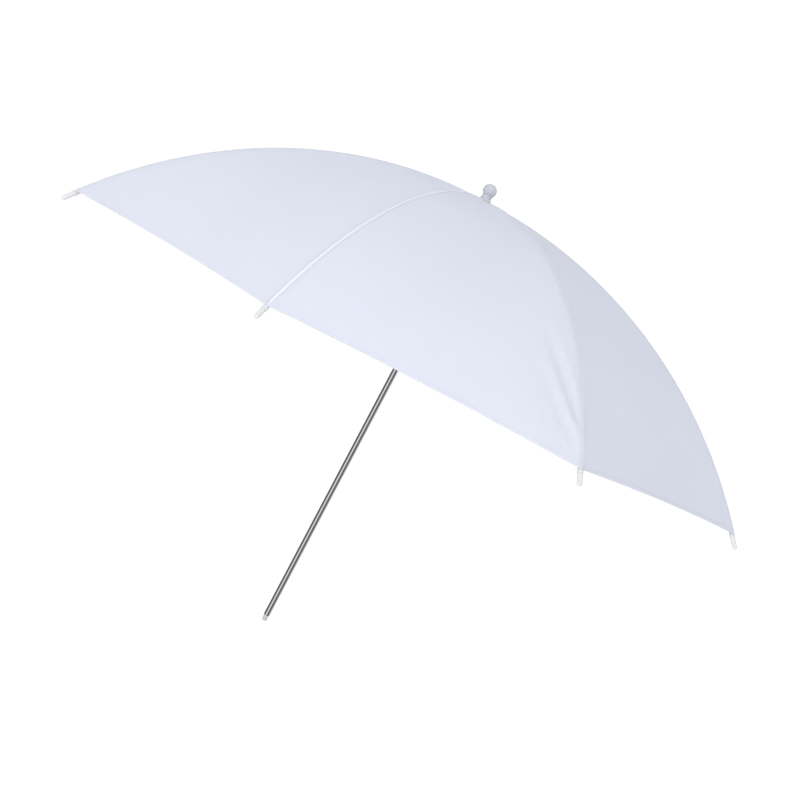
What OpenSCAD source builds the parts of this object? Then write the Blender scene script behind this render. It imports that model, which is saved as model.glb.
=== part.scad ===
// Shoot-through photo umbrella: a domed fabric canopy on folding ribs and a
// plain tubular shaft. Millimetres, +Z from the shaft's tail to the crown.
// The origin is on the shaft's axis, at the end of the tube.

/* [Canopy] */
// Radius from the shaft to a corner of the canopy
rim_r = 420; // [390:5:450]
// Depth of the dome, from the corners up to the crown
dome_h = 195; // [180:5:210]
// Thickness of the fabric panels
fabric_t = 0.8; // [0.4:0.1:1]
// Number of ribs
rib_count = 8; // [6:1:8]

/* [Shaft] */
// Outside diameter of the tube
shaft_d = 7; // [6.8:0.1:7]
// Wall of the tube
shaft_wall = 0.8; // [0.6:0.1:0.8]
// Height of the crown of the fabric above the tube's tail end
crown_z = 537; // [520:1:580]
// Length of the tail plug that shows below the tube
plug_len = 7; // [5:1:15]
// Radius of the ball on the crown ferrule
ball_r = 8; // [7:0.1:9]

/* [Ribs and stretchers] */
// Diameter of a rib's wire
rib_d = 3; // [2.6:0.1:3]
// Diameter of a stretcher's wire
stretcher_d = 2.4; // [2:0.1:2.6]
// Distance along a rib from its crown pivot to its stretcher
rib_to_joint = 130; // [110:5:150]
// Height of the crown pivots above the runner pivots, canopy open
open_gap = 110; // [105:1:120]
// Length of the plastic cap on a rib's end
cap_len = 16; // [10:1:20]

/* [Runner] */
// Length of the sleeve below the runner's slotted ring
sleeve_len = 24; // [20:1:30]
// Outside radius of the sleeve
sleeve_r = 6; // [5.9:0.1:6]

/* [Hidden] */
function numbered(name) = [for (k = [1:rib_count]) str(name, "_", k)];

$fn = 48;
slip = 0.05;                          // radial clearance of a running fit
snug = 0.03;                          // radial clearance of a fixed fit
pitch = 360 / rib_count;
half_pitch = pitch / 2;

// The dome: one circle through the crown and the canopy's corners
dome_r = (rim_r * rim_r + dome_h * dome_h) / (2 * dome_h);
dome_z = crown_z - dome_r;
rim_angle = 2 * atan(dome_h / rim_r);

// Ribs lie just under the fabric, on an arc with the same centre
fabric_gap = 0.3;
rib_r = rib_d / 2;
rib_arc_r = dome_r - fabric_t - fabric_gap - rib_r;
flat_t = 1.6;                         // thickness of a flattened wire end
flat_len = 8;                         // length of a flattened wire end
eye_r = 1.9;
socket_len = cap_len / 2;             // length of the rib inside its end cap
socket_slip = 0.1;

// Crown and runner: slotted rings whose pivots lie on one small circle
pivot_r = 8.5;
ring_r = 10.5;
core_r = 6.2;
slot_w = 2.2;
wire_r = 0.6;
eye_bore_r = wire_r + 2 * slip;
pivot_angle = asin(pivot_r / rib_arc_r);
pivot_z = dome_z + rib_arc_r * cos(pivot_angle);
crown_ring_below = 4.1;
crown_ring_above = 1.35;
runner_z = pivot_z - open_gap;
runner_ring_below = 4;
runner_ring_above = 3;
flange_h = 2;
flange_r = 7.5;
runner_bottom = runner_z - runner_ring_below - sleeve_len;

// Rib joint: a fork under the rib that carries the stretcher's outer eye
joint_drop = 5;
joint_angle = pivot_angle + rib_to_joint / rib_arc_r * 180 / PI;
fork_gap = 1.6;
fork_t = 1.2;
fork_r = 2.6;
pin_r = 0.95;
pin_bore_r = pin_r + slip;
stretcher_eye_r = 2.4;
stretcher_eye_t = 1.2;
joint_x = rib_arc_r * sin(joint_angle) - joint_drop * sin(joint_angle);
joint_z = dome_z + (rib_arc_r - joint_drop) * cos(joint_angle);
stretcher_len = norm([joint_x - pivot_r, joint_z - runner_z]);
stretcher_tilt = atan2(joint_z - runner_z, joint_x - pivot_r);

// Shaft details
shaft_r = shaft_d / 2;
bore_r = shaft_r - shaft_wall;
shaft_top = crown_z + 10;
catch_turn = half_pitch;              // the catch sits between two stretchers
catch_top = runner_bottom - 0.5;
catch_slot_w = 1.6;
catch_slot_h = 10;
catch_t = 1.2;
catch_reach = 4.9;                    // how far the pawl stands out from the axis
leaf_len = 16;
leaf_t = 0.6;
leaf_w = 2.4;
leaf_x = 1.2;
crimp_z = catch_top - leaf_len - 2.5; // rolled groove under the catch's foot
crimp_w = 1.2;
crimp_depth = 0.25;
stop_r = 0.8;                         // pin that stops the runner at the top
stop_len = 10.5;
stop_z = runner_z + runner_ring_above + stop_r + 0.3;

// Ferrule and patch
patch_t = 0.6;
patch_r = 16;
neck_r = 5.8;
neck_foot_r = 8;
neck_foot_h = 3;
ball_z = crown_z + 13;
patch_gap = 0.1;
ferrule_z = crown_z + patch_gap + patch_t + 0.1;

// Fabric panels
gore_start = 11;
gore_steps = 20;
panel_gap = 0.2;

// Places something in the plane of rib number k
module at_rib(k) {
    rotate([0, 0, (k - 1) * pitch]) children();
}

// Places something at an angle from the crown, on an arc about the dome's centre:
// its X runs along the arc towards the rim and its Z points outwards
module on_arc(angle, arc_r) {
    translate([arc_r * sin(angle), 0, dome_z + arc_r * cos(angle)])
        rotate([0, angle, 0])
            children();
}

// Sweeps a flat shape along part of an arc about the dome's centre
module along_arc(arc_r, from, to) {
    translate([0, 0, dome_z])
        rotate([90, 0, 0])
            rotate([0, 0, 90 - to])
                rotate_extrude(angle = to - from, $fn = 180)
                    translate([arc_r, 0])
                        children();
}

// Cylinder across the plane of a rib
module cross_pin(r, length) {
    rotate([90, 0, 0]) cylinder(r = r, h = length, center = true);
}

// Slotted ring of the crown notch or the runner
module slotted_ring(below, above) {
    difference() {
        translate([0, 0, -below]) cylinder(r = ring_r, h = below + above);
        for (k = [1:rib_count])
            at_rib(k)
                translate([core_r, -slot_w / 2, -below - 1])
                    cube([ring_r, slot_w, below + above + 2]);
    }
}

module shaft() {
    color("silver")
        difference() {
            cylinder(r = shaft_r, h = shaft_top);
            translate([0, 0, -1]) cylinder(r = bore_r, h = shaft_top + 2);
            rotate([0, 0, catch_turn])
                translate([0, -catch_slot_w / 2, catch_top - catch_slot_h + 0.7])
                    cube([shaft_d, catch_slot_w, catch_slot_h]);
            translate([0, 0, stop_z]) cross_pin(stop_r + snug, 3 * shaft_d);
            translate([0, 0, crimp_z])
                difference() {
                    cylinder(r = shaft_d, h = crimp_w);
                    translate([0, 0, -1]) cylinder(r = shaft_r - crimp_depth, h = crimp_w + 2);
                }
        }
}

module tail_plug() {
    insert_len = 12;
    round_r = 1;
    plug_r = shaft_r - 0.6;
    color("gainsboro") {
        translate([0, 0, -plug_len + round_r]) cylinder(r = plug_r, h = plug_len - round_r - 0.05);
        translate([0, 0, -plug_len]) cylinder(r1 = plug_r - round_r, r2 = plug_r, h = round_r);
        translate([0, 0, -0.1]) cylinder(r = bore_r - snug, h = insert_len);
    }
}

module ferrule() {
    color("whitesmoke")
        difference() {
            union() {
                translate([0, 0, ball_z]) sphere(r = ball_r);
                translate([0, 0, ferrule_z]) cylinder(r = neck_r, h = ball_z - ferrule_z);
                translate([0, 0, ferrule_z])
                    cylinder(r1 = neck_foot_r, r2 = neck_r, h = neck_foot_h);
            }
            translate([0, 0, ferrule_z - 1])
                cylinder(r = shaft_r + snug, h = shaft_top - ferrule_z + 1 + snug);
        }
}

// Fabric rosette between the canopy and the ferrule
module crown_patch() {
    inner_r = shaft_r + 0.5;
    drop = dome_r - sqrt(dome_r * dome_r - patch_r * patch_r);
    color("white")
        rotate_extrude()
            polygon([
                [inner_r, crown_z + patch_gap],
                [patch_r, crown_z + patch_gap - drop],
                [patch_r, crown_z + patch_gap - drop + patch_t],
                [inner_r, crown_z + patch_gap + patch_t]
            ]);
}

module crown_notch() {
    color("whitesmoke")
        translate([0, 0, pivot_z])
            difference() {
                slotted_ring(crown_ring_below, crown_ring_above);
                cylinder(r = shaft_r + snug, h = 40, center = true);
                rotate_extrude() translate([pivot_r, 0]) circle(r = wire_r + slip, $fn = 24);
            }
}

// Wire ring that strings the ribs' eyes in the notch
module crown_wire() {
    color("silver")
        translate([0, 0, pivot_z])
            rotate_extrude()
                translate([pivot_r, 0])
                    circle(r = wire_r, $fn = 24);
}

module runner() {
    key_w = 2;
    key_r = 5.2;
    color("whitesmoke")
        difference() {
            union() {
                translate([0, 0, runner_z]) slotted_ring(runner_ring_below, runner_ring_above);
                translate([0, 0, runner_bottom])
                    cylinder(r = sleeve_r, h = sleeve_len + 1);
                translate([0, 0, runner_bottom]) cylinder(r = flange_r, h = flange_h);
            }
            translate([0, 0, runner_bottom - 1]) cylinder(r = shaft_r + slip, h = 60);
            rotate([0, 0, catch_turn])
                translate([0, -key_w / 2, runner_bottom - 1])
                    cube([key_r, key_w, 60]);
        }
}

module runner_stop() {
    color("silver") translate([0, 0, stop_z]) cross_pin(stop_r, stop_len);
}

// Leaf spring inside the tube, with a pawl that holds the runner up
module catch_spring() {
    pawl_slope = 7;
    pawl_lip = 2;
    color("darkgray")
        rotate([0, 0, catch_turn]) {
            translate([leaf_x, -leaf_w / 2, catch_top - leaf_len])
                cube([leaf_t, leaf_w, leaf_len]);
            rotate([90, 0, 0])
                linear_extrude(height = catch_t, center = true)
                    polygon([
                        [leaf_x + leaf_t / 2, catch_top - pawl_lip - pawl_slope],
                        [catch_reach, catch_top - pawl_lip],
                        [catch_reach, catch_top],
                        [leaf_x + leaf_t / 2, catch_top]
                    ]);
        }
}

module rib(k) {
    socket_angle = socket_len / rib_arc_r * 180 / PI;
    fork_y = (fork_gap + fork_t) / 2;
    color("dimgray")
        at_rib(k)
            difference() {
                union() {
                    flat_ended_wire(socket_angle);
                    on_arc(pivot_angle, rib_arc_r) cross_pin(eye_r, flat_t);
                    on_arc(joint_angle, rib_arc_r)
                        for (side = [-1, 1])
                            translate([0, side * fork_y, 0]) {
                                translate([-fork_r, -fork_t / 2, -joint_drop])
                                    cube([2 * fork_r, fork_t, joint_drop + rib_r / 2]);
                                translate([0, 0, -joint_drop]) cross_pin(fork_r, fork_t);
                            }
                }
                on_arc(pivot_angle, rib_arc_r) cross_pin(eye_bore_r, 3 * flat_t);
                on_arc(joint_angle, rib_arc_r - joint_drop) cross_pin(pin_bore_r, 10);
            }
}

// Bowed wire of a rib, pressed flat at the crown end so that it fits the notch
module flat_ended_wire(socket_angle) {
    difference() {
        along_arc(rib_arc_r, pivot_angle, rim_angle + socket_angle)
            circle(r = rib_r, $fn = 24);
        for (side = [-1, 1])
            translate([flat_len / 2, side * (flat_t + rib_d) / 2, pivot_z])
                cube([flat_len + 2 * pivot_r, rib_d, 4 * rib_d], center = true);
    }
}

// Plastic cap over a rib's end, with a collar at the canopy's corner
module rib_tip(k) {
    tip_start = 0.5;
    tip_r = 2.5;
    collar_r = 2.9;
    collar_len = 3;
    color("whitesmoke")
        at_rib(k)
            on_arc(rim_angle, rib_arc_r)
                rotate([0, 90, 0])
                    difference() {
                        union() {
                            translate([0, 0, tip_start])
                                cylinder(r = tip_r, h = cap_len - tip_start - tip_r);
                            translate([0, 0, tip_start])
                                cylinder(r = collar_r, h = collar_len);
                            translate([0, 0, cap_len - tip_r]) sphere(r = tip_r);
                        }
                        cylinder(r = rib_r + socket_slip, h = socket_len + 0.2);
                    }
}

// Rivet through a rib's fork and the stretcher's eye
module rivet(k) {
    head_r = 1.7;
    head_t = 0.5;
    fork_w = fork_gap + 2 * fork_t + 2 * snug;
    color("silver")
        at_rib(k)
            on_arc(joint_angle, rib_arc_r - joint_drop) {
                cross_pin(pin_r, fork_w + head_t);
                for (side = [-1, 1])
                    translate([0, side * (fork_w + head_t) / 2, 0]) cross_pin(head_r, head_t);
            }
}

module stretcher(k) {
    color("dimgray")
        at_rib(k)
            translate([joint_x, 0, joint_z])
                rotate([0, 180 - stretcher_tilt, 0])
                    difference() {
                        union() {
                            cross_pin(stretcher_eye_r, stretcher_eye_t);
                            translate([0, -stretcher_eye_t / 2, -stretcher_d / 2])
                                cube([flat_len + 1, stretcher_eye_t, stretcher_d]);
                            translate([flat_len, 0, 0])
                                rotate([0, 90, 0])
                                    cylinder(d = stretcher_d, h = stretcher_len - 2 * flat_len);
                            translate([stretcher_len - flat_len - 1, -flat_t / 2, -stretcher_d / 2])
                                cube([flat_len + 1, flat_t, stretcher_d]);
                            translate([stretcher_len, 0, 0]) cross_pin(eye_r, flat_t);
                        }
                        cross_pin(pin_bore_r, 10);
                        translate([stretcher_len, 0, 0]) cross_pin(eye_bore_r, 10);
                    }
}

// One point of a panel's profile, in the plane through the middle of the panel
function profile_point(angle, arc_r) =
    [arc_r * sin(angle) * cos(half_pitch), dome_z + arc_r * cos(angle)];

// Half a canopy panel: straight across between two ribs, curved from crown to rim.
// side is -1 for the half beside rib k and 1 for the half beside the next rib
module half_gore(k, side) {
    start_angle = asin(gore_start / dome_r);
    step = (rim_angle - start_angle) / gore_steps;
    inner = dome_r - fabric_t;
    outside = [for (i = [0:gore_steps]) profile_point(start_angle + i * step, dome_r)];
    inside = [for (i = [gore_steps:-1:0]) profile_point(start_angle + i * step, inner)];
    near_x = gore_start * cos(half_pitch) - 1;
    far_x = rim_r;
    edge = panel_gap / 2;
    color("white")
        rotate([0, 0, (k - 0.5) * pitch])
            intersection() {
                rotate([90, 0, 0])
                    linear_extrude(height = 2 * rim_r, center = true)
                        polygon(concat(outside, inside));
                translate([0, 0, crown_z - 2 * dome_h])
                    linear_extrude(height = 3 * dome_h)
                        polygon([
                            [near_x, side * edge],
                            [far_x, side * edge],
                            [far_x, side * (far_x * tan(half_pitch) - edge)],
                            [near_x, side * (near_x * tan(half_pitch) - edge)]
                        ]);
            }
}

shaft();
tail_plug();
ferrule();
crown_patch();
crown_notch();
crown_wire();
runner();
runner_stop();
catch_spring();
for (k = [1:rib_count]) {
    rib(k);
    rib_tip(k);
    rivet(k);
    stretcher(k);
    half_gore(k, -1);
    half_gore(k, 1);
}
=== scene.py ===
"""A shoot-through photo umbrella: sewn nylon canopy, folding ribs and a chrome shaft.

The canopy is sixteen half panels: each one is sewn to a rib at
its outer side.
"""

import math
import random

import bmesh
import bpy
import numpy as np
from mathutils import Matrix, Vector


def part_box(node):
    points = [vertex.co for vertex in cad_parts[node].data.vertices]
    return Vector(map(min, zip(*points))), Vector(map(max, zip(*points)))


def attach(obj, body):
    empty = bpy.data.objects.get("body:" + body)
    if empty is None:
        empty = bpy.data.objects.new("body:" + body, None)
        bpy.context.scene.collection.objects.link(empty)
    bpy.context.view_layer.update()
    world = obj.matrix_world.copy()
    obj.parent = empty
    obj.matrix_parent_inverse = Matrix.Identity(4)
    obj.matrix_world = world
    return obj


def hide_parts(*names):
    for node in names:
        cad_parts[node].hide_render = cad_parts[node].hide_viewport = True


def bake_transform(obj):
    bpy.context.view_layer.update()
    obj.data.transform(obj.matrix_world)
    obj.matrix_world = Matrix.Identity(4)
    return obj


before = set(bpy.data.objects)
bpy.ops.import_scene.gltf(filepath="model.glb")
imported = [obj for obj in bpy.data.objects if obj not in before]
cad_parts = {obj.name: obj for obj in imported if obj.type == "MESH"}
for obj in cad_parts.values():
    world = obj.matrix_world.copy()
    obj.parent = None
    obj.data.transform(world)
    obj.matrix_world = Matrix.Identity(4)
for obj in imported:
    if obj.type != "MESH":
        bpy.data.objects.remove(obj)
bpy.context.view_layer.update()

MM = 0.001
RIBS = 8
PITCH = 2 * math.pi / RIBS
HALF_CHORD = math.sin(PITCH / 2)

# --- the dome: its height on the shaft comes from the frame ----------------------------
CROWN_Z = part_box("shaft")[1].z - 10 * MM
RIM_R = 420 * MM             # from the shaft to a corner of the canopy
DOME_H = 195 * MM            # from the corners up to the crown
DOME_R = (RIM_R**2 + DOME_H**2) / (2 * DOME_H)
RIM_ANGLE = 2 * math.atan(DOME_H / RIM_R)
RIM_ARC = DOME_R * RIM_ANGLE
RIB_R = 1.5 * MM
RIB_DEPTH = 2.6 * MM         # depth of a rib's centre line under the cloth's outer face

# --- the cloth ------------------------------------------------------------------------
CLOTH = 0.25 * MM            # thickness of one layer
CROWN_HOLE = 11 * MM         # where the panels start, under the crown patch
PANEL_SAG = 1.2 * MM         # how far a panel's middle hangs inside its chord
RIM_SCALLOP = 3.4 * MM       # how far the hem's middle is pulled up between two corners
HEM_W = 6 * MM
HEM_STITCHES = (0.8, 0.25)   # rows of stitches, as shares of the hem's width up from its edge
SEAM_W = 2.8 * MM            # width of the felled seam over a rib
SEAM_LIFT = 1.5 * CLOTH      # how far the seam stands above the cloth
SEAM_TAPER = 14 * MM         # the seam narrows where the ribs are closer together than this
STITCH = 3.0 * MM            # from the start of one stitch to the start of the next
STITCH_GAP = 0.9 * MM
THREAD_R = 0.16 * MM
PUCKER_H = 0.14 * MM         # height of the puckers along the seams
PUCKER_WAVE = 5.5 * MM
PUCKER_REACH = 7 * MM
FOLD_CURVE = 13 * MM         # how far a drag fold bends towards its seam over its length
HALF_GAP = 0.02 * MM         # each half panel stops this far short of the panel's middle
ROWS = 120
COLUMNS = 22
FOLD_POWER = 1.08            # how the fold grows from the seam to the panel's middle
SLACK_PANEL = 7              # the panel with the strongest drag folds
HIGHLIGHT_SEAM = 7               # the seam painted paler than the others: a painted highlight along it
CLOTH_SLOT, THREAD_SLOT, HEM_SLOT = 0, 1, 2


def direction(angle):
    """Level direction at an angle round the shaft."""
    return np.array([math.cos(angle), math.sin(angle), 0.0])


def smooth(x):
    """Smooth step from 0 to 1."""
    x = np.clip(x, 0.0, 1.0)
    return x * x * (3 - 2 * x)


def unit(vectors):
    return vectors / np.linalg.norm(vectors, axis=-1, keepdims=True)


# --- shape of the canopy ---------------------------------------------------------------
# along runs from the crown (0) to the hem (1), across from one rib (0) to the next (1)
def chord_at(along):
    """Straight distance between two neighbouring ribs."""
    return 2 * HALF_CHORD * DOME_R * np.sin(RIM_ANGLE * along)


def taut_surface(near, far, along, across):
    """Points of the taut cloth between the ribs at angles near and far."""
    bow = 4 * across * (1 - across)
    turn = RIM_ANGLE * along * (1 - RIM_SCALLOP / RIM_ARC * bow * along**6)
    reach = (DOME_R * np.sin(turn))[..., None]
    flat = (direction(near) * (1 - across[..., None]) + direction(far) * across[..., None]) * reach
    flat[..., 2] = CROWN_Z - DOME_R * (1 - np.cos(turn))
    out = direction((near + far) / 2) * np.sin(turn)[..., None]
    out[..., 2] = np.cos(turn)
    hang = PANEL_SAG * bow * np.sin(math.pi * np.minimum(along, 0.92))
    return flat - out * hang[..., None]


def drag_folds():
    """Tension folds of each panel beside each of its two ribs, side 0 and side 1: where the
    fold leaves the rib (distance up from the hem), its angle from the seam, half width,
    height and length."""
    dice = random.Random(11)
    folds = {}
    for panel in range(1, RIBS + 1):
        for side in (0, 1):
            folds[panel, side] = []
            for root in (4, 26, 60):
                angle = dice.uniform(0.22, 0.6)
                height = dice.choice((-1, 1)) * dice.uniform(0.2, 0.5)
                length = dice.uniform(50, 110)
                folds[panel, side].append((root * MM, angle, 5 * MM, height * MM, length * MM))
    folds[SLACK_PANEL, 1] = [
        (62 * MM, 0.26, 4.4 * MM, 1.4 * MM, 130 * MM),
        (34 * MM, 0.34, 3.8 * MM, -2.6 * MM, 145 * MM),
        (20 * MM, 0.46, 4.2 * MM, 1.8 * MM, 135 * MM),
        (5 * MM, 0.58, 4.2 * MM, -2.5 * MM, 115 * MM),
        (-14 * MM, 0.68, 4.6 * MM, -1.5 * MM, 100 * MM),
    ]
    return folds


FOLDS = drag_folds()


def creases(panel, side, along, own):
    """Small folds of the taut cloth: puckers along the seams and drag folds beside them.
    own is the distance from this side's rib as a share of the panel's width."""
    from_seam = own * chord_at(along)
    up = (1 - along) * RIM_ARC
    lift = PUCKER_H * np.sin(along * RIM_ARC / PUCKER_WAVE + 1.7 * panel)
    lift *= np.exp(-from_seam / PUCKER_REACH) * smooth(from_seam / (3 * MM))
    calm = smooth((0.5 - own) / 0.15) * smooth(from_seam / (6 * MM))
    for root, angle, width, height, length in FOLDS[panel, side]:
        run = from_seam * math.sin(angle) + (up - root) * math.cos(angle)
        aside = from_seam * math.cos(angle) - (up - root) * math.sin(angle)
        aside += FOLD_CURVE * (run / length) ** 2
        window = smooth(run / (25 * MM)) * smooth((length - run) / (0.6 * length))
        lift += height * np.exp(-((aside / width) ** 2)) * window * calm
    return lift * smooth((up - HEM_W) / (6 * MM))


def surface(panel, side, along, own):
    """Points and outward normals of the cloth's outer face, creases included. side is 0
    for the half beside the panel's first rib and 1 for the half beside its second."""
    along, own = np.broadcast_arrays(np.asarray(along, float), np.asarray(own, float))
    near, far = (panel - 1) * PITCH, panel * PITCH
    across = own if side == 0 else 1 - own
    here = taut_surface(near, far, along, across)
    step = 0.002
    after = np.minimum(along + step, 1.0)
    before = after - 2 * step
    left, right = across - step, across + step
    d_along = taut_surface(near, far, after, across) - taut_surface(near, far, before, across)
    d_across = taut_surface(near, far, along, right) - taut_surface(near, far, along, left)
    normal = unit(np.cross(d_along, d_across))
    return here + normal * creases(panel, side, along, own)[..., None], normal


def fold_weight(own):
    """How far a place on a half panel follows the panel's fold: 0 on the rib, 1 in the middle."""
    return (2 * own) ** FOLD_POWER


# --- meshes ------------------------------------------------------------------------------
class Build:
    """Collects the vertices, faces, materials, fold weights and flat coordinates of one mesh."""

    def __init__(self):
        self.points = []
        self.weights = []
        self.plane = []
        self.faces = []
        self.slots = []
        self.count = 0

    def add_points(self, points, weights=0.0, plane=(0.0, 0.0)):
        """Adds an array of points and gives back their numbers in the same shape."""
        points = np.asarray(points, float)
        shape = points.shape[:-1]
        total = int(np.prod(shape))
        self.points.append(points.reshape(-1, 3))
        self.weights.append(np.broadcast_to(weights, shape).reshape(-1))
        self.plane.append(np.broadcast_to(plane, (*shape, 2)).reshape(-1, 2))
        numbers = np.arange(self.count, self.count + total).reshape(shape)
        self.count += total
        return numbers

    def add_faces(self, corners, slot=CLOTH_SLOT):
        """Adds faces from an array whose last axis runs over the corners of one face."""
        corners = corners.reshape(-1, corners.shape[-1])
        self.faces.extend(corners.tolist())
        self.slots.extend([slot] * len(corners))

    def skin(self, grid, slot=CLOTH_SLOT, closed=False):
        """Faces over a grid of point numbers; closed joins the last column to the first."""
        if closed:
            grid = np.concatenate([grid, grid[..., :1]], axis=-1)
        a, b = grid[..., :-1, :-1], grid[..., 1:, :-1]
        c, d = grid[..., 1:, 1:], grid[..., :-1, 1:]
        self.add_faces(np.stack([a, b, c, d], axis=-1), slot)

    def sheet(self, top, bottom, slot=CLOTH_SLOT):
        """A closed thin solid between two equal grids of point numbers."""
        self.skin(top, slot)
        self.skin(bottom[:, ::-1], slot)
        for upper, lower in (
            (top[0, ::-1], bottom[0, ::-1]),
            (top[-1], bottom[-1]),
            (top[:, 0], bottom[:, 0]),
            (top[::-1, -1], bottom[::-1, -1]),
        ):
            self.skin(np.stack([lower, upper]), slot)

    def threads(self, start, end, up, weights=0.0):
        """Stitches: short rounded threads that dip into the cloth at both ends."""
        start, end = np.asarray(start, float), np.asarray(end, float)
        up = np.broadcast_to(up, start.shape)
        side = np.cross(unit(end - start), up)
        turn = np.arange(6) * math.pi / 3
        spokes = side[:, None] * np.cos(turn)[:, None] + up[:, None] * np.sin(turn)[:, None]
        rings = []
        for share, lift, size in ((0, -0.5, 0.5), (0.2, 0.45, 1), (0.8, 0.45, 1), (1, -0.5, 0.5)):
            centre = start + (end - start) * share + up * THREAD_R * lift
            rings.append(centre[:, None] + spokes * THREAD_R * size)
        rings = np.stack(rings, axis=1)
        spread = np.broadcast_to(weights, len(start))[:, None, None]
        numbers = self.add_points(rings, np.broadcast_to(spread, rings.shape[:-1]))
        self.skin(numbers, THREAD_SLOT, closed=True)
        self.add_faces(numbers[:, 0, ::-1], THREAD_SLOT)
        self.add_faces(numbers[:, -1], THREAD_SLOT)

    def finish(self, name, materials):
        """Makes the mesh and its object and links it to the scene."""
        mesh = bpy.data.meshes.new(name)
        mesh.from_pydata(np.concatenate(self.points).tolist(), [], self.faces)
        for material in materials:
            mesh.materials.append(material)
        mesh.polygons.foreach_set("material_index", self.slots)
        mesh.polygons.foreach_set("use_smooth", [True] * len(self.faces))
        layer = mesh.uv_layers.new(name="cloth")
        loops = np.zeros(len(mesh.loops), np.int32)
        mesh.loops.foreach_get("vertex_index", loops)
        flat = np.concatenate(self.plane).astype(np.float32)
        layer.data.foreach_set("uv", flat[loops].ravel())
        mesh.update()
        obj = bpy.data.objects.new(name, mesh)
        bpy.context.scene.collection.objects.link(obj)
        turn_outwards(obj)
        return obj


def turn_outwards(obj):
    """Turns every face of a closed mesh outwards."""
    work = bmesh.new()
    work.from_mesh(obj.data)
    bmesh.ops.recalc_face_normals(work, faces=work.faces)
    work.to_mesh(obj.data)
    work.free()


def keep_edges(obj, degrees):
    """Keeps the thin edges of a sheet crisp under smooth shading."""
    obj.data.set_sharp_from_angle(angle=math.radians(degrees))


# --- materials ------------------------------------------------------------------------
def new_material(name):
    """An empty procedural material, with its nodes and links."""
    material = bpy.data.materials.new(name)
    material.use_nodes = True
    tree = material.node_tree
    tree.nodes.clear()
    return material, tree.nodes, tree.links


def put(nodes, kind, **values):
    """A new node. Each value goes into the input of that name, or else sets the property."""
    node = nodes.new(kind)
    for key, value in values.items():
        if key in node.inputs:
            node.inputs[key].default_value = value
        else:
            setattr(node, key, value)
    return node


def wave_pair(nodes, links, scale, waviness):
    """Over and under threads of a plain weave, from the cloth's own flat coordinates."""
    coords = put(nodes, "ShaderNodeTexCoord")
    mapping = put(nodes, "ShaderNodeMapping")
    links.new(coords.outputs["UV"], mapping.inputs["Vector"])
    both = put(nodes, "ShaderNodeMath", operation="MAXIMUM")
    for number, axis in enumerate("XY"):
        wave = put(nodes, "ShaderNodeTexWave", wave_type="BANDS", bands_direction=axis)
        wave.inputs["Scale"].default_value = scale
        wave.inputs["Distortion"].default_value = waviness
        wave.inputs["Detail"].default_value = 1.0
        links.new(mapping.outputs["Vector"], wave.inputs["Vector"])
        links.new(wave.outputs["Fac"], both.inputs[number])
    return both


def nylon(name, white, glow, clear=0.0):
    """Thin translucent nylon: plain weave, faint cloudiness, a soft sheen at grazing angles."""
    material, nodes, links = new_material(name)
    coords = put(nodes, "ShaderNodeTexCoord")
    cloud = put(nodes, "ShaderNodeTexNoise", Scale=7.0, Detail=4.0, Roughness=0.55)
    links.new(coords.outputs["Object"], cloud.inputs["Vector"])
    tint = put(nodes, "ShaderNodeMix", data_type="RGBA")
    tint.inputs["A"].default_value = [c * 0.955 for c in white[:3]] + [1]
    tint.inputs["B"].default_value = white
    links.new(cloud.outputs["Fac"], tint.inputs["Factor"])
    weave = wave_pair(nodes, links, 420.0, 0.6)
    bump = put(nodes, "ShaderNodeBump", Strength=0.12, Distance=0.05 * MM)
    links.new(weave.outputs[0], bump.inputs["Height"])
    ripple = put(nodes, "ShaderNodeTexNoise", Scale=26.0, Detail=3.0, Roughness=0.5)
    links.new(coords.outputs["Object"], ripple.inputs["Vector"])
    soft = put(nodes, "ShaderNodeBump", Strength=0.25, Distance=1.2 * MM)
    links.new(ripple.outputs["Fac"], soft.inputs["Height"])
    links.new(bump.outputs["Normal"], soft.inputs["Normal"])
    front = put(nodes, "ShaderNodeBsdfPrincipled", Roughness=0.62)
    front.inputs["Sheen Weight"].default_value = 0.05
    front.inputs["Sheen Roughness"].default_value = 0.4
    front.inputs["Specular IOR Level"].default_value = 0.32
    links.new(tint.outputs["Result"], front.inputs["Base Color"])
    links.new(soft.outputs["Normal"], front.inputs["Normal"])
    through = put(nodes, "ShaderNodeBsdfTranslucent")
    links.new(tint.outputs["Result"], through.inputs["Color"])
    links.new(soft.outputs["Normal"], through.inputs["Normal"])
    mix = put(nodes, "ShaderNodeMixShader", Fac=glow)
    links.new(front.outputs[0], mix.inputs[1])
    links.new(through.outputs[0], mix.inputs[2])
    open_weave = put(nodes, "ShaderNodeBsdfTransparent")
    veil = put(nodes, "ShaderNodeMixShader", Fac=clear)
    links.new(mix.outputs[0], veil.inputs[1])
    links.new(open_weave.outputs[0], veil.inputs[2])
    out = put(nodes, "ShaderNodeOutputMaterial")
    links.new(veil.outputs[0], out.inputs["Surface"])
    return material


def thread_material():
    """Polyester sewing thread with a fine twist."""
    material, nodes, links = new_material("sewing_thread")
    coords = put(nodes, "ShaderNodeTexCoord")
    twist = put(nodes, "ShaderNodeTexNoise", Scale=2600.0, Detail=2.0)
    links.new(coords.outputs["Object"], twist.inputs["Vector"])
    bump = put(nodes, "ShaderNodeBump", Strength=0.4, Distance=0.06 * MM)
    links.new(twist.outputs["Fac"], bump.inputs["Height"])
    body = put(nodes, "ShaderNodeBsdfPrincipled", Roughness=0.6)
    body.inputs["Base Color"].default_value = (0.78, 0.79, 0.83, 1)
    body.inputs["Sheen Weight"].default_value = 0.3
    links.new(bump.outputs["Normal"], body.inputs["Normal"])
    out = put(nodes, "ShaderNodeOutputMaterial")
    links.new(body.outputs[0], out.inputs["Surface"])
    return material


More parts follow.
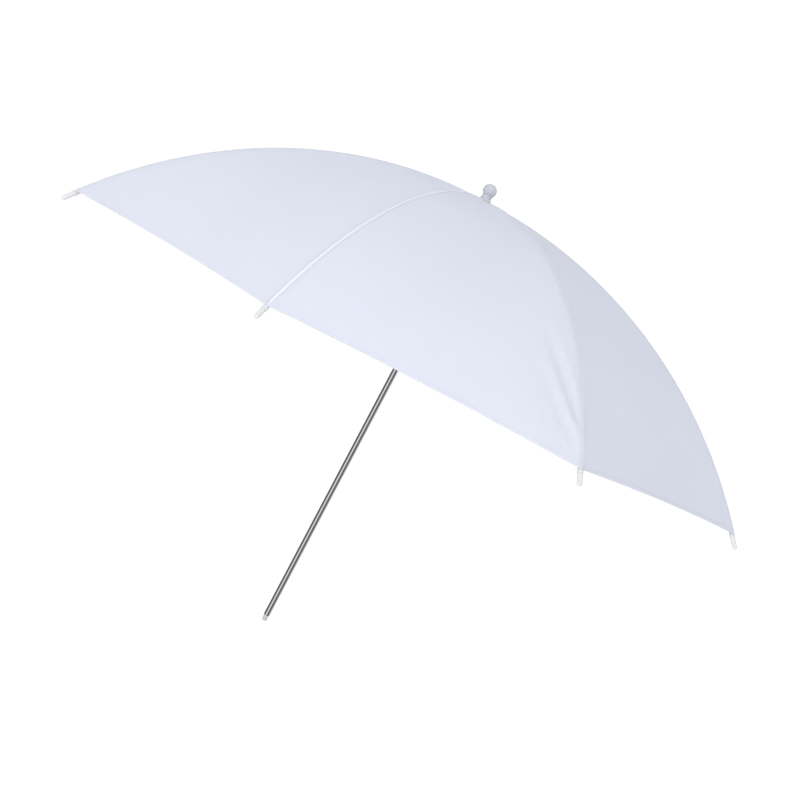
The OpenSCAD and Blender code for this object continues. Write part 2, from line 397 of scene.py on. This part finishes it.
def metal(name, colour, rough, grain, marks):
    """Drawn metal: fine lines along the part, small colour and roughness changes."""
    material, nodes, links = new_material(name)
    coords = put(nodes, "ShaderNodeTexCoord")
    stretch = put(nodes, "ShaderNodeMapping")
    stretch.inputs["Scale"].default_value = (1.0, 1.0, 0.02)
    links.new(coords.outputs["Object"], stretch.inputs["Vector"])
    lines = put(nodes, "ShaderNodeTexNoise", Scale=grain, Detail=3.0, Roughness=0.6)
    links.new(stretch.outputs["Vector"], lines.inputs["Vector"])
    blot = put(nodes, "ShaderNodeTexNoise", Scale=marks, Detail=4.0)
    links.new(coords.outputs["Object"], blot.inputs["Vector"])
    rough_map = put(nodes, "ShaderNodeMapRange")
    rough_map.inputs["To Min"].default_value = rough * 0.7
    rough_map.inputs["To Max"].default_value = rough * 1.5
    links.new(blot.outputs["Fac"], rough_map.inputs["Value"])
    tint = put(nodes, "ShaderNodeMix", data_type="RGBA")
    tint.inputs["A"].default_value = [c * 0.9 for c in colour] + [1]
    tint.inputs["B"].default_value = [*colour, 1]
    links.new(blot.outputs["Fac"], tint.inputs["Factor"])
    bump = put(nodes, "ShaderNodeBump", Strength=0.08, Distance=0.02 * MM)
    links.new(lines.outputs["Fac"], bump.inputs["Height"])
    body = put(nodes, "ShaderNodeBsdfPrincipled", Metallic=1.0)
    links.new(tint.outputs["Result"], body.inputs["Base Color"])
    links.new(rough_map.outputs["Result"], body.inputs["Roughness"])
    links.new(bump.outputs["Normal"], body.inputs["Normal"])
    out = put(nodes, "ShaderNodeOutputMaterial")
    links.new(body.outputs[0], out.inputs["Surface"])
    return material


def plastic(name, colour, rough, depth, clear=0.0):
    """Moulded plastic: soft light under the skin and a faint moulding ripple."""
    material, nodes, links = new_material(name)
    coords = put(nodes, "ShaderNodeTexCoord")
    ripple = put(nodes, "ShaderNodeTexNoise", Scale=340.0, Detail=3.0)
    links.new(coords.outputs["Object"], ripple.inputs["Vector"])
    bump = put(nodes, "ShaderNodeBump", Strength=0.08, Distance=0.1 * MM)
    links.new(ripple.outputs["Fac"], bump.inputs["Height"])
    tint = put(nodes, "ShaderNodeMix", data_type="RGBA")
    tint.inputs["A"].default_value = [c * 0.94 for c in colour] + [1]
    tint.inputs["B"].default_value = [*colour, 1]
    links.new(ripple.outputs["Fac"], tint.inputs["Factor"])
    body = put(nodes, "ShaderNodeBsdfPrincipled", Roughness=rough)
    body.inputs["Subsurface Weight"].default_value = depth
    body.inputs["Subsurface Radius"].default_value = (1.0, 1.0, 1.0)
    body.inputs["Subsurface Scale"].default_value = 1.5 * MM
    body.inputs["Transmission Weight"].default_value = clear
    body.inputs["Coat Weight"].default_value = 0.3
    body.inputs["Coat Roughness"].default_value = 0.12
    links.new(tint.outputs["Result"], body.inputs["Base Color"])
    links.new(bump.outputs["Normal"], body.inputs["Normal"])
    out = put(nodes, "ShaderNodeOutputMaterial")
    links.new(body.outputs[0], out.inputs["Surface"])
    return material


def floor_material():
    """Matt white paper."""
    material, nodes, links = new_material("pale_floor")
    body = put(nodes, "ShaderNodeBsdfPrincipled", Roughness=0.9)
    body.inputs["Base Color"].default_value = (0.98, 0.98, 0.98, 1)
    out = put(nodes, "ShaderNodeOutputMaterial")
    links.new(body.outputs[0], out.inputs["Surface"])
    return material


# --- canopy pieces -----------------------------------------------------------------------
def stitch_ends(length):
    """Where each stitch of a row starts and ends, in metres along the row."""
    starts = np.arange(int(length / STITCH)) * STITCH + STITCH_GAP / 2
    return starts, starts + STITCH - STITCH_GAP


def half_panel(panel, side, cloth, thread, hem):
    """One half of a panel with its folded hem and the hem's stitches."""
    build = Build()
    hem_top = 1.0 - HEM_W / RIM_ARC
    hem_rows = np.linspace(hem_top, 1.0, 5)
    rows = np.concatenate([np.linspace(CROWN_HOLE / RIM_ARC, hem_top, ROWS), hem_rows[1:]])
    columns = 0.5 * np.linspace(0, 1, COLUMNS) ** 1.5

    def layer(places, depth):
        along, own = np.meshgrid(places, columns, indexing="ij")
        own = np.minimum(own, 0.5 - HALF_GAP / chord_at(along))
        points, normals = surface(panel, side, along, own)
        flat = np.stack([own * chord_at(along) + panel, along * RIM_ARC], axis=-1)
        return build.add_points(points - normals * depth, fold_weight(own), flat)

    build.sheet(layer(rows, 0.0), layer(rows, CLOTH))
    build.sheet(layer(hem_rows, CLOTH * 1.15), layer(hem_rows, CLOTH * 2.3), HEM_SLOT)
    for share in HEM_STITCHES:
        along = 1.0 - share * HEM_W / RIM_ARC
        width = chord_at(along)
        starts, ends = stitch_ends(width / 2)
        first, up = surface(panel, side, along, starts / width)
        second, _ = surface(panel, side, along, ends / width)
        build.threads(first, second, up, fold_weight((starts + ends) / 2 / width))
    word = ("left", "right")[side]
    body = f"gore_{word}_{panel}"
    obj = build.finish(f"canopy_{word}_{panel}", [cloth, thread, hem])
    keep_edges(obj, 50)
    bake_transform(obj)
    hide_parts(body)


def rib_frame(rib, turn):
    """Directions at a place on a rib: along it to the rim, sideways, and out of the dome."""
    ridge = direction((rib - 1) * PITCH)
    tangent = ridge * math.cos(turn) - np.array([0, 0, math.sin(turn)])
    side = np.array([-ridge[1], ridge[0], 0])
    out = ridge * math.sin(turn) + np.array([0, 0, math.cos(turn)])
    return tangent, side, out


def over_seam(rib, along, offset):
    """Points and normals of the cloth beside a rib, at signed distances from the seam. The
    normals of the two panels are blended close to the seam."""
    along, offset = np.broadcast_arrays(np.asarray(along, float), np.asarray(offset, float))
    own = np.minimum(0.5, abs(offset) / chord_at(along))
    after, normal_after = surface(rib, 0, along, own)
    before, normal_before = surface((rib - 2) % RIBS + 1, 1, along, own)
    here = np.where((offset >= 0)[..., None], after, before)
    normal = np.where((offset >= 0)[..., None], normal_after, normal_before)
    blunt = np.exp(-abs(offset) / (1.0 * MM))[..., None]
    return here, unit(normal + (normal_after + normal_before) / 2 * blunt)


def seam(rib, cloth, thread):
    """The felled seam over a rib: a narrow strip folded to one side, two rows of stitches."""
    build = Build()
    crown = CROWN_HOLE / RIM_ARC
    columns = np.array([-0.16, -0.1, 0, 0.25, 0.5, 0.78, 0.84]) * SEAM_W
    lifts = np.array([0.02, 0.8, 1.0, 1.1, 1.1, 1.0, 0.02]) * SEAM_LIFT
    rows = np.linspace(crown, 0.9985, ROWS + 30)
    dice = random.Random(rib)
    uneven = np.array([1 + 0.16 * dice.uniform(-1, 1) for _ in rows])
    along, offset = np.meshgrid(rows, columns, indexing="ij")
    offset = offset * np.minimum(1, chord_at(along) / SEAM_TAPER)
    points, normals = over_seam(rib, along, offset)
    flat = np.stack([offset, along * RIM_ARC], axis=-1)
    lift = (uneven[:, None] * lifts)[..., None]
    top = build.add_points(points + normals * lift, plane=flat)
    bottom = build.add_points(points - normals * 0.1 * CLOTH, plane=flat)
    build.sheet(top, bottom)
    starts, ends = stitch_ends((0.99 - crown) * RIM_ARC)
    starts, ends = crown + starts / RIM_ARC, crown + ends / RIM_ARC
    narrow = np.minimum(1, chord_at(starts) / SEAM_TAPER)
    for offset in (0.12 * SEAM_W, 0.68 * SEAM_W):
        first, up = over_seam(rib, starts, offset * narrow)
        second, _ = over_seam(rib, ends, offset * narrow)
        build.threads(first + up * SEAM_LIFT, second + up * SEAM_LIFT, up)
    obj = build.finish(f"seam_{rib}", [cloth, thread])
    keep_edges(obj, 60)
    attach(obj, f"rib_{rib}")


def corner_pocket(rib, cloth):
    """Folded cloth pocket that holds a corner of the canopy to the rib's cap."""
    build = Build()
    tangent, side, out = rib_frame(rib, RIM_ANGLE)
    corner = direction((rib - 1) * PITCH) * RIM_R + np.array([0, 0, CROWN_Z - DOME_H])
    centre = corner - out * RIB_DEPTH
    facets = 14
    thick = 0.3
    around = np.arange(facets) * 2 * math.pi / facets
    spokes = side * np.cos(around)[:, None] + out * np.sin(around)[:, None]
    outer, inner = [], []
    # Distance past the canopy's corner and outer radius, in millimetres
    for past, radius in ((-9, 2.3), (-6, 2.8), (-3, 2.9), (-1.5, 2.85), (0, 2.85), (1.4, 2.9)):
        crumple = 1 + 0.05 * np.sin(3 * around + past + rib)[:, None]
        middle = centre + tangent * past * MM
        outer.append(middle + spokes * radius * crumple * MM)
        inner.append(middle + spokes * (radius - thick) * MM)
    outer = build.add_points(np.array(outer))
    inner = build.add_points(np.array(inner))
    build.skin(outer, closed=True)
    build.skin(inner, closed=True)
    for end in (0, -1):
        build.skin(np.stack([outer[end], inner[end]]), closed=True)
    obj = build.finish(f"corner_pocket_{rib}", [cloth])
    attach(obj, f"rib_{rib}")


def rib_ties(rib, thread):
    """Wraps of thread that tie the seam to the rib at a few places along it."""
    build = Build()
    cord = 0.28 * MM
    wraps = 5
    places = (0.22, 0.55, 0.82)
    arc_r = DOME_R - RIB_DEPTH
    around = np.arange(20)[:, None] * 2 * math.pi / 20
    section = np.arange(6)[None, :] * math.pi / 3
    for along in places:
        tangent, side, out = rib_frame(rib, RIM_ANGLE * along)
        centre = out * arc_r + np.array([0, 0, CROWN_Z - DOME_R])
        spoke = side * np.cos(around)[..., None] + out * np.sin(around)[..., None]
        reach = RIB_R + cord + cord * np.cos(section)[..., None]
        shift = cord * (np.sin(section) + 0.5 * np.sin(around))[..., None]
        for wrap in range(wraps):
            middle = centre + tangent * (wrap - wraps / 2) * 2 * cord
            ring = build.add_points(middle + spoke * reach + tangent * shift)
            build.skin(np.concatenate([ring, ring[:1]]), closed=True)
    obj = build.finish(f"rib_ties_{rib}", [thread])
    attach(obj, f"rib_{rib}")


def rosette(cloth, thread):
    """Round gathered patch between the canopy and the ferrule."""
    build = Build()
    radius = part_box("crown_patch")[1].x
    inner = 4.2 * MM
    gathers = 16
    share = np.linspace(0, 1, 9)[:, None]
    around = np.arange(96)[None, :] * 2 * math.pi / 96
    edge = radius * (1 - 0.025 * (1 - np.cos(gathers * around)) * share)
    reach = inner + (edge - inner) * share
    base = CROWN_Z + 0.25 * MM - DOME_R + np.sqrt(DOME_R**2 - reach**2)
    ripple = 0.12 * MM * np.cos(gathers * around) * np.sin(math.pi * share)
    thick = 0.35 * MM + 0.5 * MM * (1 - share) + ripple
    flat = np.stack([reach * np.cos(around), reach * np.sin(around)], axis=-1)
    top = build.add_points(np.dstack([flat, base + thick]), plane=flat)
    bottom = build.add_points(np.dstack([flat, base]), plane=flat)
    build.skin(top, closed=True)
    build.skin(bottom, closed=True)
    for row in (0, -1):
        build.skin(np.stack([top[row], bottom[row]]), closed=True)
    ring_r = radius * 0.84
    count = int(2 * math.pi * ring_r / STITCH)
    height = CROWN_Z - DOME_R + math.sqrt(DOME_R**2 - ring_r**2) + 0.72 * MM
    ends = []
    for gap in (0.18, 0.82):
        turn = 2 * math.pi * (np.arange(count) + gap) / count
        ring = np.stack([ring_r * np.cos(turn), ring_r * np.sin(turn)], axis=-1)
        ends.append(np.dstack([ring[None], np.full((1, count), height)])[0])
    build.threads(ends[0], ends[1], (0, 0, 1))
    obj = build.finish("crown_rosette", [cloth, thread])
    keep_edges(obj, 50)
    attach(obj, "shaft_assembly")
    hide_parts("crown_patch")


# --- materials of the CAD pieces ------------------------------------------------------------
def paint(node, material):
    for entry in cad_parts[node].material_slots:
        entry.link = "OBJECT"
        entry.material = material


def paint_frame():
    """Materials of the CAD pieces that stay in the picture."""
    chrome = metal("chrome_tube", (0.80, 0.80, 0.82), 0.09, 900.0, 30.0)
    zinc = metal("zinc_wire", (0.42, 0.43, 0.45), 0.3, 1500.0, 60.0)
    bright = metal("bright_wire", (0.66, 0.66, 0.68), 0.2, 1500.0, 80.0)
    white = plastic("white_plastic", (0.60, 0.62, 0.69), 0.2, 0.3)
    # The ferrule's white plastic, painted darker than the other white parts: painted shade.
    shaded_white_plastic = plastic("ferrule_plastic_painted_shade", (0.48, 0.495, 0.545), 0.2, 0.3)
    cap = plastic("cap_plastic", (0.58, 0.59, 0.60), 0.2, 0.2)
    plug = plastic("plug_plastic", (0.42, 0.42, 0.44), 0.2, 0.2)
    looks = {
        "shaft": chrome,
        "tail_plug": plug,
        "ferrule": shaded_white_plastic,
        "crown_notch": white,
        "runner": white,
        "crown_wire": bright,
        "runner_stop": bright,
        "catch_spring": bright,
    }
    for k in range(1, RIBS + 1):
        looks[f"rib_{k}"] = zinc
        looks[f"stretcher_{k}"] = zinc
        looks[f"rivet_{k}"] = bright
        looks[f"rib_tip_{k}"] = cap
    for node, material in looks.items():
        paint(node, material)


# --- stage ------------------------------------------------------------------------------------
CAMERA_SIDE = -72.8          # heading of the camera from the shaft, in degrees
LIGHT_AIM = (0, 0, 0.42)     # middle of the dome
FLOOR_DROP = 1.3             # how far the floor lies below the shaft's tail
FLOOR_SIZE = 30.0
# The walls that shiny parts reflect, as pairs of place and brightness. Places go once
# round the object, from behind it (0) past the camera (0.5) and back (1).
WALLS = (
    (0.02, 0.60), (0.10, 0.18), (0.16, 0.09), (0.31, 0.12), (0.38, 0.40),
    (0.43, 1.00), (0.49, 0.85), (0.54, 0.30), (0.60, 0.07), (0.65, 0.09),
    (0.73, 0.40), (0.84, 0.60), (0.98, 0.62),
)


def camera():
    """The photograph's view: level, turned about its own axis, the crown up and to the right."""
    lens = 71.03
    place = Vector((0.5514, -1.7131, CROWN_Z - 0.1096))
    heading = math.radians(107.190)
    pitch = math.radians(-4.277)
    roll = math.radians(27.838)
    look = Vector(
        (math.cos(heading) * math.cos(pitch), math.sin(heading) * math.cos(pitch), math.sin(pitch))
    )
    level = look.cross(Vector((0, 0, 1))).normalized()
    above = level.cross(look)
    right = level * math.cos(roll) + above * math.sin(roll)
    up = right.cross(look)
    data = bpy.data.cameras.new("camera")
    data.lens = lens
    data.sensor_width = 36
    data.clip_start = 0.01
    obj = bpy.data.objects.new("camera", data)
    turn = Matrix((right, up, -look)).transposed().to_4x4()
    obj.matrix_world = Matrix.Translation(place) @ turn
    bpy.context.scene.collection.objects.link(obj)
    bpy.context.scene.camera = obj


def area_light(name, place, size, power):
    """A soft round light aimed at the dome, seen neither by the camera nor by shiny parts."""
    data = bpy.data.lights.new(name, "AREA")
    data.shape = "DISK"
    data.size = size
    data.energy = power
    obj = bpy.data.objects.new(name, data)
    obj.location = place
    towards = Vector(LIGHT_AIM) - Vector(place)
    obj.rotation_euler = towards.to_track_quat("-Z", "Y").to_euler()
    bpy.context.scene.collection.objects.link(obj)
    obj.visible_camera = False
    obj.visible_glossy = False


def world_light(strength):
    """Even white light. Mirror-like surfaces see a studio with dark and bright walls instead."""
    world = bpy.data.worlds.new("studio")
    world.use_nodes = True
    nodes, links = world.node_tree.nodes, world.node_tree.links
    nodes.clear()
    even = put(nodes, "ShaderNodeBackground")
    even.inputs["Color"].default_value = (1, 1, 1, 1)
    even.inputs["Strength"].default_value = strength
    walls = put(nodes, "ShaderNodeBackground")
    walls.inputs["Strength"].default_value = 1.0
    coords = put(nodes, "ShaderNodeTexCoord")
    parts = put(nodes, "ShaderNodeSeparateXYZ")
    links.new(coords.outputs["Generated"], parts.inputs[0])
    heading = put(nodes, "ShaderNodeMath", operation="ARCTAN2")
    links.new(parts.outputs["Y"], heading.inputs[0])
    links.new(parts.outputs["X"], heading.inputs[1])
    # Heading counted from the camera's side of the object, as a share of a whole turn
    share = put(nodes, "ShaderNodeMath", operation="MULTIPLY_ADD")
    share.inputs[1].default_value = 1 / (2 * math.pi)
    share.inputs[2].default_value = 0.5 - CAMERA_SIDE / 360
    links.new(heading.outputs[0], share.inputs[0])
    wrap = put(nodes, "ShaderNodeMath", operation="FRACT")
    links.new(share.outputs[0], wrap.inputs[0])
    ramp = put(nodes, "ShaderNodeValToRGB")
    links.new(wrap.outputs[0], ramp.inputs["Fac"])
    stops = ramp.color_ramp.elements
    for place, level in WALLS:
        stop = stops.new(place)
        stop.color = (level, level, level * 1.02, 1)
    stops.remove(stops[0])
    stops.remove(stops[len(stops) - 1])
    links.new(ramp.outputs["Color"], walls.inputs["Color"])
    path = put(nodes, "ShaderNodeLightPath")
    mix = put(nodes, "ShaderNodeMixShader")
    links.new(path.outputs["Is Glossy Ray"], mix.inputs["Fac"])
    links.new(even.outputs[0], mix.inputs[1])
    links.new(walls.outputs[0], mix.inputs[2])
    out = put(nodes, "ShaderNodeOutputWorld")
    links.new(mix.outputs[0], out.inputs["Surface"])
    bpy.context.scene.world = world


def floor():
    """The paper the object stands above, far enough down to stay out of low views."""
    size = FLOOR_SIZE
    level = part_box("tail_plug")[0].z - FLOOR_DROP
    mesh = bpy.data.meshes.new("floor")
    corners = [(x * size, y * size, level) for x, y in ((-1, -1), (1, -1), (1, 1), (-1, 1))]
    mesh.from_pydata(corners, [], [(0, 1, 2, 3)])
    mesh.materials.append(floor_material())
    obj = bpy.data.objects.new("floor", mesh)
    bpy.context.scene.collection.objects.link(obj)
    obj.visible_glossy = False


def studio():
    """Soft light, floor and camera."""
    scene = bpy.context.scene
    scene.view_settings.view_transform = "Standard"
    scene.view_settings.look = "None"
    world_light(1.09)
    area_light("key", (0.2, -4.4, 1.0), 2.4, 94)
    area_light("back", (-3.4, 2.6, 1.5), 2.4, 45)
    floor()
    camera()


# --- everything -----------------------------------------------------------------------------
def canopy():
    """Everything sewn: half panels, seams, corner pockets, ties and the crown patch."""
    cloth = nylon("canopy_nylon", (0.708, 0.731, 0.80, 1), 0.38)
    hem = nylon("hem_nylon", (0.76, 0.775, 0.85, 1), 0.5, 0.6)
    # A paler, less translucent copy of the cloth for one seam only: a painted highlight along that
    # seam.
    felled = nylon("seam_nylon_painted_highlight", (0.775, 0.795, 0.88, 1), 0.24)
    thread = thread_material()
    for panel in range(1, RIBS + 1):
        for side in (0, 1):
            half_panel(panel, side, cloth, thread, hem)
    for rib in range(1, RIBS + 1):
        # Only one seam gets the paler cloth, as a painted highlight; the other seams use the plain
        # cloth.
        seam(rib, felled if rib == HIGHLIGHT_SEAM else cloth, thread)
        corner_pocket(rib, cloth)
        rib_ties(rib, thread)
    rosette(cloth, thread)


canopy()
paint_frame()
studio()
